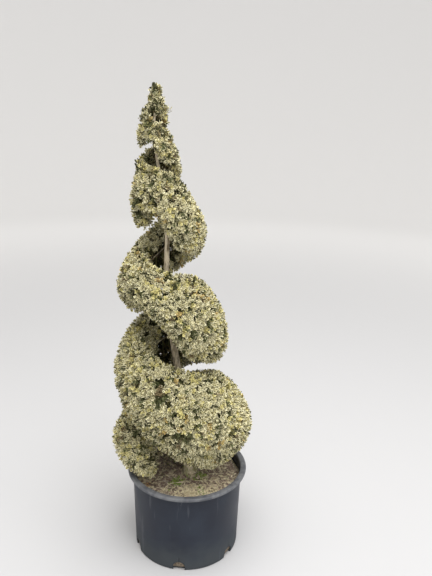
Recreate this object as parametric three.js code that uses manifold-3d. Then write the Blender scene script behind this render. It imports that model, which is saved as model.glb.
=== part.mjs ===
// Variegated boxwood clipped to a spiral, growing in a round nursery pot.
// Millimetres, +Z up, origin at the middle of the pot's underside, -Y towards the viewer.
// The clipped band climbs clockwise as seen from above: front, left, back, right, front.

import * as THREE from 'three';
import { mergeVertices } from 'three/addons/utils/BufferGeometryUtils.js';
import Module from 'manifold-3d';

const wasm = await Module();
wasm.setup();

// Clearance between touching pieces
const GAP = 0.3;

// Pot
const POT_HEIGHT = 281;
const RIM_RADIUS = 195;
const SHOULDER_RADIUS = 178;
const BASE_RADIUS = 171;
const POT_WALL = 3;
const POT_FLOOR = 4;
const LIP_HEIGHT = 11;
const LIP_WIDTH = 13;
const LIP_ROUND = 4;
const THROAT_HEIGHT = 6;
const BASE_ROUND = 4;
const POT_SIDES = 40;
const DRAIN_WIDTH = 38;
const DRAIN_HEIGHT = 31;
const DRAIN_DEPTH = 11;
const DRAIN_STEPS = 8;
const DRAIN_COUNT = 6;
const DRAIN_TURN = 0.37;

// Potting soil
const SOIL_TOP = 248;
const SOIL_DIP = 9;
const SOIL_CHAMFER = 12;
const MOUND_RADIUS = 70;
const SEAT_RADIUS = 39;

// Trunk
const FLARE_RADIUS = 25;
const TRUNK_RADIUS = 16;
const TRUNK_TIP_RADIUS = 3;
const FLARE_HEIGHT = 60;
const TRUNK_TOP = 1418;
const TRUNK_SIDES = 9;
const TRUNK_STEPS = 16;
const FLARE_RINGS = [0, 8, 20, 38, 64];
const FLUTE_DEPTH = 0.16;
const FLUTE_FADE = 45;
const FOOT_OFFSET = 8;
const FOOT_FADE = 160;

// Boughs, which rise from the trunk to the inner side of the band
const BOUGH_SIDES = 7;
const BOUGH_RISE = 0.7;
const BOUGH_SAG = 0.1;
const BOUGH_TAPER = [1.25, 1, 0.8];

// Crown: rows of values at even steps of height from CROWN_BASE to CROWN_TOP
const CROWN_BASE = 280;
const CROWN_TOP = 1471;
const CROWN_RADIUS = [230, 230, 208, 188, 168, 144, 118, 82, 50, 8];
const CROWN_LEAN = [-13, -16, -24, -44, -58, -69, -68, -86, -103, -95];

// Height of the band's middle, and its thickness, each time it passes the left or the right side
const BAND_HEIGHTS = [340, 470, 622, 783, 902, 1098, 1162, 1285, 1348, 1388, 1455];
const BAND_THICKNESS = [265, 290, 262, 282, 222, 222, 218, 118, 110, 84, 60];
const BAND_SQUARENESS = 1.8;
const BAND_START = -0.125;
const BAND_END = 4.95;
const LOWER_END_ROUND = 0.14;
const UPPER_END_TAPER = 0.95;

// The lowest turn hangs deeper at the back and right, where its underside slopes in towards the trunk,
// and it stays clear of the pot's rim
const LOW_TURN_DROP = 0.4;
const LOW_TURN_SLOPE = 0.26;
const CROWN_FLOOR = POT_HEIGHT + 5;
const FLOOR_SOFTNESS = 10;

// Above the lowest turn the underside is cut back where the band climbs from the front to the left
const FRONT_CUT = 0.8;
const FRONT_CUT_SPAN = [0.66, 0.84, 0.89, 1.04];

// Cut places along the band, in turns from the first pass of the left side
const MASSES = [
  ['foliage_foot', BAND_START, 0],
  ['foliage_back_1', 0, 0.5],
  ['foliage_front_1', 0.5, 1],
  ['foliage_back_2', 1, 1.5],
  ['foliage_front_2', 1.5, 2],
  ['foliage_back_3', 2, 2.5],
  ['foliage_front_3', 2.5, 3],
  ['foliage_back_4', 3, 3.5],
  ['foliage_front_4', 3.5, 4],
  ['foliage_back_5', 4, 4.5],
  ['foliage_tip', 4.5, BAND_END],
];

// Twigs and leaves, with sizes at the foot and at the top of the crown
const LEAF_LENGTH = [54, 25];
const LEAF_WIDTH = 0.55;
const LEAF_BROADEST = 0.55;
const LEAF_THICKNESS = 0.09;
const LEAF_SPREAD = 0.9;
const LEAF_TRIES = [1, 0.88, 0.76, 0.66];
const LEAVES_PER_TWIG = 3;
const ROOT_SINK = 0.14;
const ROOT_OFFSET = 0.16;
const TWIG_RADIUS = [3.4, 1.8];
const TWIG_SIDES = 3;
const TWIG_AREA = [9600, 900];
const LEAFY_ARC = 1.35 * Math.PI;
const TWIG_REACH = 0.94;
const FORK_PLACE = -0.1;
const ARM_STEPS = 5;
const ARM_REACH = 0.9;
const TWIG_TAPER = 0.4;
const SIZE_SPREAD = [0.85, 1.15];
const GOLDEN_TURN = (3 - Math.sqrt(5)) / 2;
const SEED = 24;

// The dense middle of each mass
const CORE_DEPTH = [18, 8];
const CORE_END_INSET = 0.022;
const CORE_SIDES = 12;
const CORE_STEPS = 5;
const CORE_STEPS_PER_TURN = 16;
const CORE_LEAST = { height: 0.35, outer: 0.2, inner: 0.4 };

// The leader's tuft, which starts just above the trunk's tip
const TUFT_BASE = TRUNK_TOP + 1;
const TUFT_ROUND = 14;
const TUFT_TWIGS = 7;
const TUFT_RINGS = [0, 5, 14, 26, 38, 44];
const TUFT_CORE_RADIUS = 2.2;
const TUFT_TWIG_RISE = 12;
const TUFT_TWIG_REACH = 0.8;
const TUFT_LEAF_SIZE = 0.75;

// The space kept between the trunk and the band's inner side, as a least value and a share of the crown
const TRUNK_CLEARANCE = 4;
const TRUNK_CLEARANCE_SHARE = 0.12;
const LEAST_DEPTH = 6;

const DARK_POT = new THREE.Color(0x2b3036);
const SOIL_BROWN = new THREE.Color(0x5c5040);
const BARK_TAN = new THREE.Color(0x9c8462);
const LEAF_GREEN = new THREE.Color(0x8d9463);

const UP = new THREE.Vector3(0, 0, 1);

// A repeatable source of numbers from 0 to 1
function seededRandom(seed) {
  let state = seed;
  return () => {
    state = (state + 0x6d2b79f5) | 0;
    let t = Math.imul(state ^ (state >>> 15), 1 | state);
    t = (t + Math.imul(t ^ (t >>> 7), 61 | t)) ^ t;
    return ((t ^ (t >>> 14)) >>> 0) / 4294967296;
  };
}

// A smooth value at place t, where row[0] is at 0, row[1] at 1 and so on
function alongRow(row, t) {
  const last = row.length - 1;
  const at = (i) => {
    if (i < 0) return row[0] + i * (row[1] - row[0]);
    if (i > last) return row[last] + (i - last) * (row[last] - row[last - 1]);
    return row[i];
  };
  const i = Math.floor(t);
  const f = t - i;
  const [a, b, c, d] = [at(i - 1), at(i), at(i + 1), at(i + 2)];
  return 0.5 * (2 * b + (c - a) * f + (2 * a - 5 * b + 4 * c - d) * f * f
    + (3 * b - a - 3 * c + d) * f * f * f);
}

const crownStep = (row) => (CROWN_TOP - CROWN_BASE) / (row.length - 1);
const crownRow = (row, z) => alongRow(row, (z - CROWN_BASE) / crownStep(row));
const crownRadius = (z) => Math.max(0, crownRow(CROWN_RADIUS, Math.min(z, CROWN_TOP)));
const leanAt = (z) => crownRow(CROWN_LEAN, z);
const heightShare = (z) => THREE.MathUtils.clamp((z - CROWN_BASE) / (CROWN_TOP - CROWN_BASE), 0, 1);
const byHeight = ([low, high], z) => THREE.MathUtils.lerp(low, high, heightShare(z));

// The trunk's middle line: it leans with the crown from a foot a little right of the pot's middle
function trunkLine(z) {
  const fade = Math.exp(-(z - SOIL_TOP) / FOOT_FADE);
  return leanAt(z) + (FOOT_OFFSET - leanAt(SOIL_TOP)) * fade;
}

function trunkRadius(z) {
  const t = THREE.MathUtils.clamp((z - SOIL_TOP) / (TRUNK_TOP - SOIL_TOP), 0, 1);
  const taper = THREE.MathUtils.lerp(TRUNK_RADIUS, TRUNK_TIP_RADIUS, t ** 0.9);
  const flare = (FLARE_RADIUS - TRUNK_RADIUS) * Math.exp((-3 * (z - SOIL_TOP)) / FLARE_HEIGHT);
  return taper + flare;
}

// How far the band's underside is cut back at a place s
function frontCut(s) {
  const [start, full, ease, end] = FRONT_CUT_SPAN;
  const place = start + THREE.MathUtils.euclideanModulo(s - start, 1);
  const amount = THREE.MathUtils.smoothstep(place, start, full)
    - THREE.MathUtils.smoothstep(place, ease, end);
  return FRONT_CUT * amount * THREE.MathUtils.smoothstep(s, 1.2, 1.5);
}

// The band at a place s: its angle, middle height, half thickness, inner radius and fullness
function bandAt(s) {
  const angle = -Math.PI / 2 - 2 * Math.PI * s;
  const centre = alongRow(BAND_HEIGHTS, 2 * s);
  const fromEnd = THREE.MathUtils.clamp((s - BAND_START) / LOWER_END_ROUND, 0, 1);
  const fullness = Math.sqrt(Math.max(1 - (1 - fromEnd) ** 2, 0.03));
  const taper = THREE.MathUtils.clamp((BAND_END + 0.2 - s) / UPPER_END_TAPER, 0.1, 1);
  const half = 0.5 * alongRow(BAND_THICKNESS, 2 * s) * fullness * taper;
  const noTurnBelow = THREE.MathUtils.smoothstep(s, 0.1, 0.4) - THREE.MathUtils.smoothstep(s, 0.72, 0.98);
  const lowest = centre - half * (1 + LOW_TURN_DROP * noTurnBelow) * (1 - frontCut(s));
  const lift = Math.log1p(Math.exp((lowest - CROWN_FLOOR) / FLOOR_SOFTNESS));
  const bottom = s < 1 ? CROWN_FLOOR + FLOOR_SOFTNESS * lift : lowest;
  const middle = (centre + half + bottom) / 2;
  const inner = trunkRadius(middle) + TRUNK_CLEARANCE + TRUNK_CLEARANCE_SHARE * crownRadius(middle);
  const slope = LOW_TURN_SLOPE * noTurnBelow;
  return { angle, middle, half: (centre + half - bottom) / 2, inner, fullness, slope };
}

// The inner and outer radius of the clipped band at a height within it
function bandSpan(band, z) {
  const below = Math.max((band.middle - z) / band.half, 0);
  const clipped = crownRadius(z) * (1 - band.slope * below ** 1.5);
  const outer = Math.max(clipped, band.inner + LEAST_DEPTH);
  const middle = (band.inner + outer) / 2;
  const reach = ((outer - band.inner) / 2) * band.fullness;
  return [middle - reach, middle + reach];
}

// A point of the band: s along it, u from -1 at the trunk to 1 outside, v from -1 below to 1 above
function bandPoint(s, u, v) {
  const band = bandAt(s);
  const z = band.middle + band.half * v;
  const radius = THREE.MathUtils.lerp(...bandSpan(band, z), 0.5 + 0.5 * u);
  return new THREE.Vector3(
    leanAt(z) + radius * Math.sin(band.angle),
    -radius * Math.cos(band.angle),
    z,
  );
}

// The outline of the band's section, as a direction a in its plane
function sectionOutline(a) {
  const [ca, sa] = [Math.cos(a), Math.sin(a)];
  const n = BAND_SQUARENESS;
  const size = (Math.abs(ca) ** n + Math.abs(sa) ** n) ** (1 / n);
  return [ca / size, sa / size];
}

// Whether a point lies inside the space of the mass between places from and to
function insideBand(point, from, to) {
  const dx = point.x - leanAt(point.z);
  const radius = Math.hypot(dx, point.y);
  const angle = Math.atan2(dx, -point.y);
  let s = (-Math.PI / 2 - angle) / (2 * Math.PI);
  s += Math.round((from + to) / 2 - s);
  const endGap = (2 * GAP) / (2 * Math.PI * Math.max(radius, 1));
  if (s < from + endGap || s > to - endGap) return false;
  const band = bandAt(s);
  const [inner, outer] = bandSpan(band, point.z);
  const v = (point.z - band.middle) / band.half;
  const u = (2 * (radius - inner)) / (outer - inner) - 1;
  return Math.abs(u) ** BAND_SQUARENESS + Math.abs(v) ** BAND_SQUARENESS <= 1;
}

// Whether a point lies inside the leader's tuft, which closes the crown above the trunk
function insideTuft(point) {
  if (point.z < TUFT_BASE || point.z > CROWN_TOP) return false;
  return Math.hypot(point.x - leanAt(point.z), point.y) <= tuftRadius(point.z);
}

// A closed solid from a three.js geometry, its shared vertices merged and its faces turned out
function solidOf(geometry) {
  const bare = geometry.clone();
  bare.deleteAttribute('normal');
  bare.deleteAttribute('uv');
  const merged = mergeVertices(bare, 1e-4);
  const build = (triVerts) => new wasm.Manifold(new wasm.Mesh({
    numProp: 3,
    vertProperties: new Float32Array(merged.attributes.position.array),
    triVerts,
  }));
  const triVerts = new Uint32Array(merged.index.array);
  const solid = build(triVerts);
  return solid.volume() > 0 ? solid : build(triVerts.reverse());
}

// The largest single body of a solid, with any scrap or sealed hollow left out
function mainBody(solid) {
  const bodies = solid.decompose();
  bodies.sort((a, b) => b.volume() - a.volume());
  return bodies[0];
}

function geometryOf(solid) {
  const mesh = solid.getMesh();
  const geometry = new THREE.BufferGeometry();
  const stride = mesh.numProp;
  const count = mesh.vertProperties.length / stride;
  const position = new Float32Array(count * 3);
  for (let i = 0; i < count; i += 1) {
    for (let k = 0; k < 3; k += 1) position[3 * i + k] = mesh.vertProperties[stride * i + k];
  }
  geometry.setAttribute('position', new THREE.BufferAttribute(position, 3));
  geometry.setIndex(new THREE.BufferAttribute(new Uint32Array(mesh.triVerts), 1));
  geometry.computeVertexNormals();
  return geometry;
}

// A closed skin over rings of points, with a fan over the first and last ring
function skinOf(rings) {
  const sides = rings[0].length;
  const middle = (ring) => ring.reduce((sum, p) => sum.add(p), new THREE.Vector3()).divideScalar(sides);
  const points = [...rings.flat(), middle(rings[0]), middle(rings.at(-1))];
  const faces = [];
  for (let r = 0; r < rings.length - 1; r += 1) {
    for (let k = 0; k < sides; k += 1) {
      const [a, b] = [r * sides + k, r * sides + ((k + 1) % sides)];
      faces.push(a, b, b + sides, a, b + sides, a + sides);
    }
  }
  const lastRing = (rings.length - 1) * sides;
  for (let k = 0; k < sides; k += 1) {
    const next = (k + 1) % sides;
    faces.push(points.length - 2, next, k, points.length - 1, lastRing + k, lastRing + next);
  }
  const geometry = new THREE.BufferGeometry().setFromPoints(points);
  geometry.setIndex(faces);
  return geometry;
}

// Two directions square to a given one
function sidesOf(direction) {
  const helper = Math.abs(direction.z) > 0.9 ? new THREE.Vector3(1, 0, 0) : UP;
  const a = new THREE.Vector3().crossVectors(direction, helper).normalize();
  const b = new THREE.Vector3().crossVectors(direction, a).normalize();
  return [a, b];
}

// A tapering limb along a path, with a flat end at each side
function limb(path, radii, sides, turn = 0) {
  const rings = path.map((point, i) => {
    const before = path[Math.max(i - 1, 0)];
    const after = path[Math.min(i + 1, path.length - 1)];
    const [a, b] = sidesOf(after.clone().sub(before).normalize());
    return Array.from({ length: sides }, (_, k) => {
      const t = turn + (2 * Math.PI * k) / sides;
      return point.clone()
        .addScaledVector(a, radii[i] * Math.cos(t))
        .addScaledVector(b, radii[i] * Math.sin(t));
    });
  });
  return solidOf(skinOf(rings));
}

// A drain hole's space: an arch that stands on the ground and reaches through the pot's wall
function drainArch() {
  const side = DRAIN_WIDTH / 2;
  const shape = new THREE.Shape()
    .moveTo(-side, -POT_FLOOR)
    .lineTo(side, -POT_FLOOR)
    .lineTo(side, DRAIN_HEIGHT - side)
    .absarc(0, DRAIN_HEIGHT - side, side, 0, Math.PI, false);
  const settings = { depth: 2 * DRAIN_DEPTH, bevelEnabled: false, curveSegments: DRAIN_STEPS };
  return new THREE.ExtrudeGeometry(shape, settings).rotateX(Math.PI / 2).rotateZ(Math.PI / 2);
}

// The pot: a thin-walled cup with a rolled lip and a ring of arched drain holes at its foot
function potSolid() {
  const lipBottom = POT_HEIGHT - LIP_HEIGHT;
  const profile = [
    [0, 0],
    [BASE_RADIUS - BASE_ROUND, 0],
    [BASE_RADIUS, BASE_ROUND],
    [SHOULDER_RADIUS, lipBottom],
    [RIM_RADIUS - LIP_ROUND / 2, lipBottom],
    [RIM_RADIUS, lipBottom + LIP_ROUND],
    [RIM_RADIUS, POT_HEIGHT - LIP_ROUND],
    [RIM_RADIUS - LIP_ROUND, POT_HEIGHT],
    [RIM_RADIUS - LIP_WIDTH, POT_HEIGHT],
    [SHOULDER_RADIUS - POT_WALL, lipBottom - THROAT_HEIGHT],
    [BASE_RADIUS - POT_WALL, POT_FLOOR],
    [0, POT_FLOOR],
  ].map(([x, y]) => new THREE.Vector2(x, y));
  let solid = solidOf(new THREE.LatheGeometry(profile, POT_SIDES).rotateX(Math.PI / 2));
  for (let k = 0; k < DRAIN_COUNT; k += 1) {
    const arch = drainArch().translate(BASE_RADIUS - DRAIN_DEPTH, 0, 0);
    arch.rotateZ(((k + DRAIN_TURN) * 2 * Math.PI) / DRAIN_COUNT);
    solid = solid.subtract(solidOf(arch));
  }
  return mainBody(solid);
}

// The pot's inner radius at a height below the lip
function potInside(z) {
  const top = POT_HEIGHT - LIP_HEIGHT - THROAT_HEIGHT;
  const low = BASE_RADIUS - POT_WALL;
  const high = SHOULDER_RADIUS - POT_WALL;
  return THREE.MathUtils.mapLinear(z, POT_FLOOR, top, low, high);
}

// The soil: it fills the pot, with a low mound up to a level seat for the trunk
function soilSolid() {
  const sideGap = 2 * GAP;
  const edge = SOIL_TOP - SOIL_DIP;
  const profile = [
    [0, POT_FLOOR + GAP],
    [potInside(POT_FLOOR) - SOIL_CHAMFER, POT_FLOOR + GAP],
    [potInside(POT_FLOOR + SOIL_CHAMFER) - sideGap, POT_FLOOR + SOIL_CHAMFER],
    [potInside(edge) - sideGap, edge],
    [potInside(edge) - 2 * SOIL_CHAMFER, edge + SOIL_DIP / 2],
    [MOUND_RADIUS, SOIL_TOP - SOIL_DIP / 5],
    [SEAT_RADIUS, SOIL_TOP],
    [0, SOIL_TOP],
  ].map(([x, y]) => new THREE.Vector2(x, y));
  return solidOf(new THREE.LatheGeometry(profile, POT_SIDES).rotateX(Math.PI / 2));
}

// Heights of the trunk's rings, close together in the flare
function trunkHeights() {
  const flare = FLARE_RINGS.map((rise) => SOIL_TOP + GAP + rise);
  const start = flare.at(-1);
  const step = (TRUNK_TOP - start) / TRUNK_STEPS;
  return [...flare, ...Array.from({ length: TRUNK_STEPS }, (_, i) => start + step * (i + 1))];
}

// The trunk, thicker by grow, with a fluted root flare and level ends
function trunkSolid(grow = 0) {
  const heights = trunkHeights();
  heights[heights.length - 1] += grow;
  const rings = heights.map((z) => Array.from({ length: TRUNK_SIDES }, (_, k) => {
    const t = (2 * Math.PI * k) / TRUNK_SIDES;
    const flute = 1 + FLUTE_DEPTH * Math.exp(-(z - SOIL_TOP) / FLUTE_FADE) * Math.cos(3 * t);
    const radius = trunkRadius(z) * flute + grow;
    return new THREE.Vector3(trunkLine(z) + radius * Math.cos(t), radius * Math.sin(t), z);
  }));
  return solidOf(skinOf(rings));
}

// A bough's path from the trunk to its mass, and the direction that the mass's stem goes on in
function boughPath(from, to) {
  const s = (from + to) / 2;
  const band = bandAt(s);
  const end = bandPoint(s, -0.98, 0);
  const rise = BOUGH_RISE * (band.inner - trunkRadius(band.middle)) + 3;
  const start = new THREE.Vector3(trunkLine(end.z - rise), 0, end.z - rise);
  const elbow = start.clone().lerp(end, 0.6);
  elbow.z -= BOUGH_SAG * start.distanceTo(end);
  return { path: [start, elbow, end], heading: end.clone().sub(elbow).normalize() };
}

const boughRadius = (z) => 0.3 * trunkRadius(z) + 1.2;

// A bough: one tapering limb from the trunk to its mass
function boughSolid(from, to) {
  const { path } = boughPath(from, to);
  const radii = BOUGH_TAPER.map((share) => share * boughRadius(path[0].z));
  const whole = limb(path, radii, BOUGH_SIDES);
  return mainBody(whole.subtract(trunkSolid(GAP)));
}

// The stem that a mass grows on: it goes on from the bough's tip to the middle of the band
function stemSolid(from, to) {
  const { path, heading } = boughPath(from, to);
  const thick = BOUGH_TAPER.at(-1) * boughRadius(path[0].z);
  const start = path.at(-1).clone().addScaledVector(heading, GAP);
  const bend = start.clone().addScaledVector(heading, 3 * thick);
  const end = bandPoint((from + to) / 2, FORK_PLACE, 0);
  return limb([start, bend, end], [thick, 0.9 * thick, 0.7 * thick], BOUGH_SIDES);
}

// The stem's two arms, which follow the band both ways and carry the twigs
function armSolids(from, to) {
  const { path } = boughPath(from, to);
  const thick = 0.7 * BOUGH_TAPER.at(-1) * boughRadius(path[0].z);
  return [from, to].map((far) => {
    const places = Array.from({ length: ARM_STEPS + 1 }, (_, i) => i / ARM_STEPS);
    const middle = (from + to) / 2;
    const points = places.map((t) => bandPoint(middle + (far - middle) * ARM_REACH * t, FORK_PLACE, 0));
    const radii = places.map((t) => thick * (1 - (1 - TWIG_TAPER) * t));
    return limb(points, radii, BOUGH_SIDES);
  });
}

// A leaf of eight faces: root, two sides, tip, and the swell of its two faces
function leafSolid(root, along, across, length) {
  const face = new THREE.Vector3().crossVectors(along, across).normalize();
  const width = length * LEAF_WIDTH;
  const broadest = root.clone().addScaledVector(along, LEAF_BROADEST * length);
  const left = broadest.clone().addScaledVector(across, width / 2);
  const right = broadest.clone().addScaledVector(across, -width / 2);
  const above = broadest.clone().addScaledVector(face, (length * LEAF_THICKNESS) / 2);
  const below = broadest.clone().addScaledVector(face, (-length * LEAF_THICKNESS) / 2);
  const tip = root.clone().addScaledVector(along, length);
  const corners = [root, left, tip, right, above, below];
  const geometry = new THREE.BufferGeometry().setFromPoints(corners);
  geometry.setIndex([0, 1, 4, 1, 2, 4, 2, 3, 4, 3, 0, 4, 1, 0, 5, 2, 1, 5, 3, 2, 5, 0, 3, 5]);
  return { solid: solidOf(geometry), corners };
}

// The dense middle of a mass, inset from its clipped surface
function coreSolid(from, to) {
  const steps = Math.max(CORE_STEPS, Math.round((to - from) * CORE_STEPS_PER_TURN));
  const rings = Array.from({ length: steps + 1 }, (_, i) => {
    const start = from === BAND_START ? from + CORE_END_INSET : from;
    const s = THREE.MathUtils.lerp(start, to, i / steps);
    const band = bandAt(s);
    const depth = byHeight(CORE_DEPTH, band.middle);
    const [inner, outer] = bandSpan(band, band.middle);
    const keepHeight = Math.max(1 - depth / band.half, CORE_LEAST.height);
    const keepOuter = Math.max(1 - (2 * depth) / (outer - inner), CORE_LEAST.outer);
    const keepInner = Math.max(1 - depth / (outer - inner), CORE_LEAST.inner);
    const alongBand = new THREE.Vector3(-Math.cos(band.angle), -Math.sin(band.angle), 0);
    const inset = i === 0 ? GAP : i === steps ? -GAP : 0;
    return Array.from({ length: CORE_SIDES }, (_, k) => {
      const [u, v] = sectionOutline((2 * Math.PI * k) / CORE_SIDES);
      const point = bandPoint(s, u * (u > 0 ? keepOuter : keepInner), v * keepHeight);
      return point.addScaledVector(alongBand, inset);
    });
  });
  return solidOf(skinOf(rings));
}

// Where the twigs of a mass end: evenly spread over the clipped surface, turned by the golden angle
function sproutsOf(from, to, seed) {
  const random = seededRandom(seed);
  const band = bandAt((from + to) / 2);
  const radius = crownRadius(band.middle);
  const length = 2 * Math.PI * (to - from) * (0.5 * (radius + band.inner) + 0.2 * radius);
  const girth = 2 * band.half + 1.1 * (radius - band.inner);
  const count = Math.round((length * girth) / byHeight(TWIG_AREA, band.middle));
  const margin = (2 * byHeight(TWIG_RADIUS, band.middle)) / (Math.PI * radius);
  return Array.from({ length: count }, (_, i) => {
    const s = THREE.MathUtils.lerp(from + margin, to - margin, (i + 0.25 + 0.5 * random()) / count);
    const turn = (i * GOLDEN_TURN + 0.1 * random()) % 1;
    const [u, v] = sectionOutline((turn - 0.5) * LEAFY_ARC);
    const tip = bandPoint(s, u * TWIG_REACH, v * TWIG_REACH);
    const out = tip.clone().sub(bandPoint(s, u * 0.5, v * 0.5)).normalize();
    const fork = bandPoint(s, FORK_PLACE, 0);
    const size = THREE.MathUtils.lerp(...SIZE_SPREAD, random());
    return { tip, out, fork, spin: random() * 2 * Math.PI, size };
  });
}

// The leader's tuft: its radius at a height, its core and where its leaves sit
const tuftRadius = (z) => crownRadius(z) * Math.min(1, Math.sqrt((z - TRUNK_TOP + 1) / TUFT_ROUND));

function tuftCore() {
  const heights = TUFT_RINGS.map((rise) => TUFT_BASE + rise);
  const rings = heights.map((z) => Array.from({ length: CORE_SIDES / 2 }, (_, k) => {
    const t = (4 * Math.PI * k) / CORE_SIDES;
    const radius = Math.max(tuftRadius(z) - CORE_DEPTH[1], TUFT_CORE_RADIUS);
    return new THREE.Vector3(leanAt(z) + radius * Math.cos(t), radius * Math.sin(t), z);
  }));
  return solidOf(skinOf(rings));
}

function tuftSprouts(seed) {
  const random = seededRandom(seed);
  return Array.from({ length: TUFT_TWIGS }, (_, i) => {
    const z = THREE.MathUtils.lerp(TUFT_BASE + TUFT_TWIG_RISE, CROWN_TOP - 3, i / (TUFT_TWIGS - 1));
    const t = 2 * Math.PI * i * GOLDEN_TURN;
    const rise = 0.35 + 1.6 * (i / TUFT_TWIGS) ** 2;
    const out = new THREE.Vector3(Math.cos(t), Math.sin(t), rise).normalize();
    const reach = i === TUFT_TWIGS - 1 ? 0 : TUFT_TWIG_REACH * tuftRadius(z);
    const tip = new THREE.Vector3(leanAt(z) + reach * Math.cos(t), reach * Math.sin(t), z);
    const fork = new THREE.Vector3(leanAt(z - TUFT_TWIG_RISE), 0, z - TUFT_TWIG_RISE);
    return { tip, out, fork, spin: random() * 2 * Math.PI, size: TUFT_LEAF_SIZE };
  });
}

// The leaves at a twig's end, spread round it with their roots sunk in the core
function leavesOf({ tip, out, spin, size }, fits) {
  const [a, b] = sidesOf(out);
  const length = byHeight(LEAF_LENGTH, tip.z) * size;
  const depth = byHeight(CORE_DEPTH, tip.z) + ROOT_SINK * length;
  const leaves = [];
  for (let k = 0; k < LEAVES_PER_TWIG; k += 1) {
    const t = spin + (2 * Math.PI * k) / LEAVES_PER_TWIG;
    const sideways = a.clone().multiplyScalar(Math.cos(t)).addScaledVector(b, Math.sin(t));
    const along = out.clone().addScaledVector(sideways, LEAF_SPREAD).normalize();
    const across = new THREE.Vector3().crossVectors(along, out).normalize();
    const root = tip.clone().addScaledVector(out, -depth).addScaledVector(sideways, ROOT_OFFSET * length);
    const sizes = LEAF_TRIES.map((share) => leafSolid(root, along, across, length * share));
    const leaf = sizes.find(({ corners }) => corners.every(fits));
    if (leaf) leaves.push(leaf.solid);
  }
  return leaves;
}

// One mass of foliage: stem, core, twigs and leaves as a single body in its own space
function massSolid(name, from, to, seed) {
  const isTip = name === 'foliage_tip';
  const fits = (point) => insideBand(point, from, to) || (isTip && insideTuft(point));
  const pieces = [coreSolid(from, to), stemSolid(from, to), ...armSolids(from, to)];
  const sprouts = sproutsOf(from, to, seed);
  if (isTip) {
    pieces.push(tuftCore());
    sprouts.push(...tuftSprouts(seed));
  }
  for (const sprout of sprouts) {
    const twigRadius = byHeight(TWIG_RADIUS, sprout.tip.z);
    if (fits(sprout.tip)) {
      const path = [sprout.fork, sprout.tip];
      pieces.push(limb(path, [twigRadius, TWIG_TAPER * twigRadius], TWIG_SIDES, sprout.spin));
      pieces.push(...leavesOf(sprout, fits));
    }
  }
  const solid = pieces.reduce((sum, piece) => sum.add(piece));
  return mainBody(solid.subtract(trunkSolid(2 * GAP)));
}

const group = new THREE.Group();

function addNode(name, solid, color, roughness) {
  const material = new THREE.MeshStandardMaterial({ color, roughness, metalness: 0 });
  const mesh = new THREE.Mesh(geometryOf(solid), material);
  mesh.name = name;
  group.add(mesh);
}

addNode('pot', potSolid(), DARK_POT, 0.55);
addNode('soil', soilSolid(), SOIL_BROWN, 1);
addNode('trunk', trunkSolid(), BARK_TAN, 0.9);
MASSES.forEach(([name, from, to], i) => {
  addNode(name, massSolid(name, from, to, SEED + i), LEAF_GREEN, 0.7);
  addNode(name.replace('foliage', 'bough'), boughSolid(from, to), BARK_TAN, 0.9);
});

export default group;
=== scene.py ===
# %% [markdown]
# # A boxwood clipped to a spiral, in its nursery pot
#
# The plant's solids are already made: a pot, its soil, a trunk, eleven boughs and eleven masses of foliage.
# They are loaded first and never moved. Wood, twigs, leaves, soil and pot are then modelled over them at the
# same size, so that each finished piece can stand for one of the solids.

# %% Load the frame
import math

import bmesh
import bpy
import numpy as np
from mathutils import Matrix, Vector, kdtree, noise


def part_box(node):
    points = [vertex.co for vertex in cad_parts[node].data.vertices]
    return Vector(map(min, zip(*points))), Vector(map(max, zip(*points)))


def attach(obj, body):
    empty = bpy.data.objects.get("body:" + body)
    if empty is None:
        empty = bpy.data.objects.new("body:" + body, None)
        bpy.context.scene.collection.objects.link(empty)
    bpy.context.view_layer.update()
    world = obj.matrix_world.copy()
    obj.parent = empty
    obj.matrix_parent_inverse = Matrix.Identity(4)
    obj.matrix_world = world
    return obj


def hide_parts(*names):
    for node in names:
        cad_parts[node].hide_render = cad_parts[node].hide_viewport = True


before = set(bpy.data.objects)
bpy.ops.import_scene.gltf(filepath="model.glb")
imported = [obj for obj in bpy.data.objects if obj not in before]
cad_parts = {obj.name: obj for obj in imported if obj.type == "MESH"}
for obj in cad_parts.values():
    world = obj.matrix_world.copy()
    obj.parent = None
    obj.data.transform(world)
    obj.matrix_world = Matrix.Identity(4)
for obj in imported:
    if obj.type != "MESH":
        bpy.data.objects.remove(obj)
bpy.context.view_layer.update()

print("solids loaded:", len(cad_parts))

# %% [markdown]
# ## Camera
#
# The picture was taken from about 1.7 m in front of the pot and 1.4 m above the ground, looking down a
# little. A camera could be aimed with a constraint, but four plain numbers can be compared with the picture:
# how far down it looks, how far it turns to the right, how far it rolls, and its lens.

# %% Camera
CAMERA_PLACE = (0.0, -1.7292, 1.4295)
CAMERA_DOWN = math.radians(17.33)
CAMERA_TURN = math.radians(2.65)
CAMERA_ROLL = math.radians(1.48)
CAMERA_LENS = 37.54

lens = bpy.data.cameras.new("lens")
lens.lens = CAMERA_LENS
lens.sensor_width = 36
camera = bpy.data.objects.new("camera", lens)
camera.matrix_world = (
    Matrix.Translation(CAMERA_PLACE)
    @ Matrix.Rotation(-CAMERA_TURN, 4, "Z")
    @ Matrix.Rotation(math.pi / 2 - CAMERA_DOWN, 4, "X")
    @ Matrix.Rotation(CAMERA_ROLL, 4, "Z")
)
bpy.context.scene.collection.objects.link(camera)
bpy.context.scene.camera = camera
print("camera height", CAMERA_PLACE[2])

# %% [markdown]
# ## Light
#
# Under a bright overcast sky the light is soft and comes mostly from above. A wide lamp overhead, a weaker
# one at the front right and a dim warm surrounding give that. A sun lamp would throw hard shadows.

# %% Light
LAMP_AIM = Vector((-0.05, 0, 0.7))


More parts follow.
